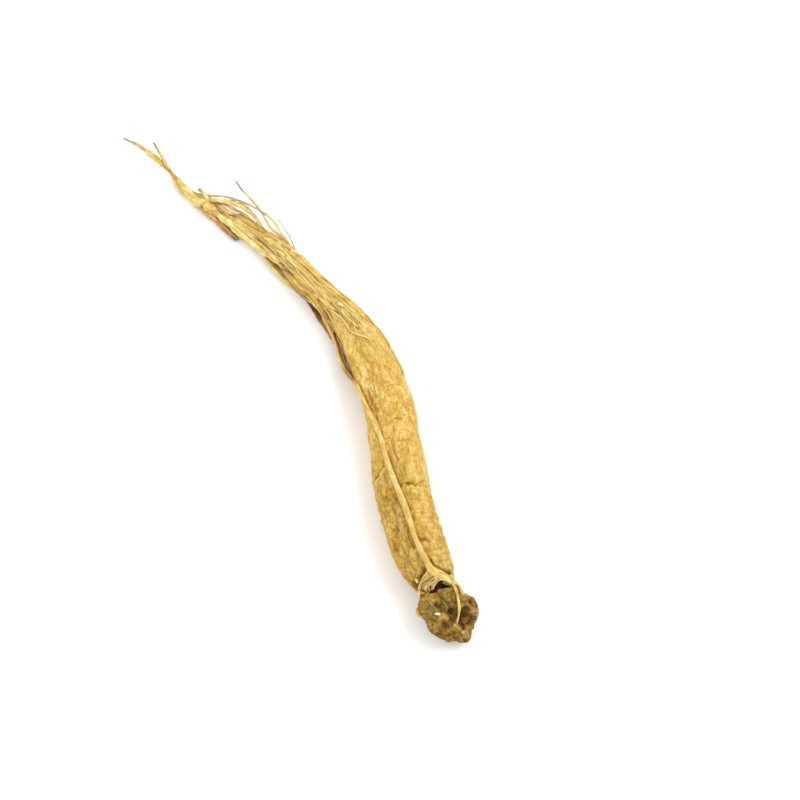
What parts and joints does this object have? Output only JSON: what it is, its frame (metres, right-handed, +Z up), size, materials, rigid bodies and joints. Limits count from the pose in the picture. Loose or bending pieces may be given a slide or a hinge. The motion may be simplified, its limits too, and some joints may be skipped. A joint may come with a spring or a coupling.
{
  "type": "dried ginseng root",
  "caption": "Dried ginseng root lying on its side: a ringed, wrinkled body with a knobbly crown, a long side root along it and a bundle of thin rootlets at the tail.",
  "frame": {"origin": "on the surface that the root rests on, under the middle of its bounding box", "axes": "+X along the root towards its crown, +Y across it, +Z up"},
  "size_m": [0.1916, 0.0368, 0.0163],
  "materials": {
    "root_skin": "pale yellow wrinkled dried skin, matt"
  },
  "bodies": {
    "root": {"ginseng_root": "root_skin"}
  },
  "joints": []
}
